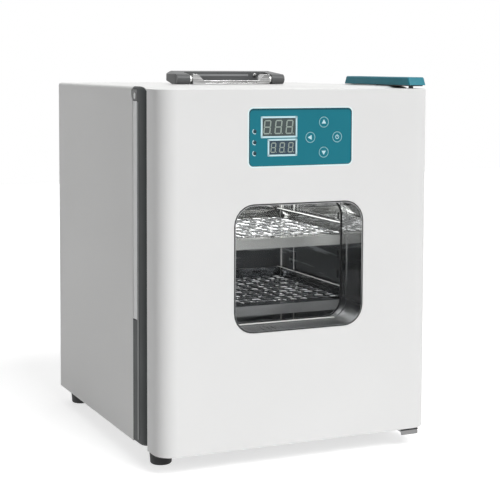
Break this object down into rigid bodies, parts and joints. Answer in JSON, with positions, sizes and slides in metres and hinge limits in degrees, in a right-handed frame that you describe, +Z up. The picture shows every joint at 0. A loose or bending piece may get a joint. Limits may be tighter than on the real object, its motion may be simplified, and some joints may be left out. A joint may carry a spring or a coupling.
{
  "type": "portable incubator",
  "caption": "Bench-top incubator: insulated case with stainless chamber, perforated shelves, hinged window door with key panel, rubber feet and fold-down carry handle.",
  "frame": {"origin": "on the bench, under the middle of the case's footprint", "axes": "+Z up, +X to the right seen from the front, the door faces -Y"},
  "size_m": [0.3, 0.3372, 0.3912],
  "materials": {
    "white_paint": "smooth semi-gloss powder coat, near white",
    "grey_plastic": "fine-textured dark grey moulding",
    "trim_plastic": "light grey satin strip",
    "stainless": "bright rolled stainless sheet with fine scratches",
    "plated_steel": "bright nickel or zinc plate",
    "rubber": "black moulded rubber",
    "gasket_rubber": "dark grey soft seal",
    "glass": "clear flat toughened glass",
    "dark_steel": "dark grey painted steel",
    "teal_plastic": "satin teal moulding",
    "overlay_film": "teal printed film with pale lines",
    "display_face": "dark smoked display window with unlit pale segments",
    "lamp_lens": "unlit pale green lens",
    "circuit_board": "green solder mask",
    "foam": "pale mineral-wool or foam board",
    "handle_plastic": "dark grey fine-grained plastic",
    "black_plastic": "black moulded plastic",
    "ceramic": "off-white ceramic body"
  },
  "bodies": {
    "case": {"outer_shell": "white_paint", "base_pan": "white_paint", "rear_panel": "white_paint", "front_frame": "grey_plastic", "grip_strip": "trim_plastic", "grip_corner_cap": "grey_plastic", "foot_front_left": "rubber", "foot_front_right": "rubber", "foot_rear_left": "rubber", "foot_rear_right": "rubber", "chamber_liner": "stainless", "insulation_jacket": "foam", "temperature_probe": "plated_steel", "thermal_cutout": "ceramic", "shelf_upright_front_left": "stainless", "shelf_upright_front_right": "stainless", "shelf_upright_rear_left": "stainless", "shelf_upright_rear_right": "stainless", "upper_rail_left": "stainless", "upper_rail_right": "stainless", "lower_rail_left": "stainless", "lower_rail_right": "stainless", "upper_shelf": "stainless", "lower_shelf": "stainless", "floor_plate": "stainless", "heater_element": "plated_steel", "inlet_socket": "black_plastic", "switch_bezel": "black_plastic", "fuse_holder": "black_plastic", "power_board": "circuit_board", "transformer": "plated_steel", "hinge_cover": "teal_plastic", "hinge_cover_pad": "white_paint", "upper_hinge_arm": "dark_steel", "lower_hinge_bracket": "plated_steel", "handle_base": "plated_steel", "handle_pin_left": "plated_steel", "handle_pin_right": "plated_steel"},
    "door": {"door_shell": "white_paint", "door_liner": "white_paint", "door_insulation": "foam", "door_gasket": "gasket_rubber", "hinge_bush_lower": "black_plastic", "hinge_bush_upper": "black_plastic", "window_reveal": "stainless", "window_outer_glass": "glass", "window_inner_glass": "glass", "control_overlay": "overlay_film", "control_board": "circuit_board", "pv_display": "display_face", "sv_display": "display_face", "indicator_strip": "lamp_lens"},
    "key_up": {"key_up": "overlay_film"},
    "key_left": {"key_left": "overlay_film"},
    "key_set": {"key_set": "overlay_film"},
    "key_down": {"key_down": "overlay_film"},
    "power_rocker": {"power_rocker": "black_plastic"},
    "carry_handle": {"carry_handle": "handle_plastic"}
  },
  "joints": [
    {"name": "door_hinge", "type": "hinge", "parent": "case", "child": "door", "pos_m": [0.1355, -0.1495, 0.0194], "axis": [0, 0, 1], "range_deg": [0, 115]},
    {"name": "press_up", "type": "slide", "parent": "door", "child": "key_up", "axis": [0, 1, 0], "range_m": [0, 0.0005], "stiffness_N_per_m": 400},
    {"name": "press_left", "type": "slide", "parent": "door", "child": "key_left", "axis": [0, 1, 0], "range_m": [0, 0.0005], "stiffness_N_per_m": 400},
    {"name": "press_set", "type": "slide", "parent": "door", "child": "key_set", "axis": [0, 1, 0], "range_m": [0, 0.0005], "stiffness_N_per_m": 400},
    {"name": "press_down", "type": "slide", "parent": "door", "child": "key_down", "axis": [0, 1, 0], "range_m": [0, 0.0005], "stiffness_N_per_m": 400},
    {"name": "rocker_pivot", "type": "hinge", "parent": "case", "child": "power_rocker", "pos_m": [0.055, 0.1643, 0.065], "axis": [0, 0, 1], "range_deg": [0, 16]},
    {"name": "handle_fold", "type": "hinge", "parent": "case", "child": "carry_handle", "pos_m": [0, 0.01245, 0.38225], "axis": [1, 0, 0], "range_deg": [0, 90]}
  ]
}
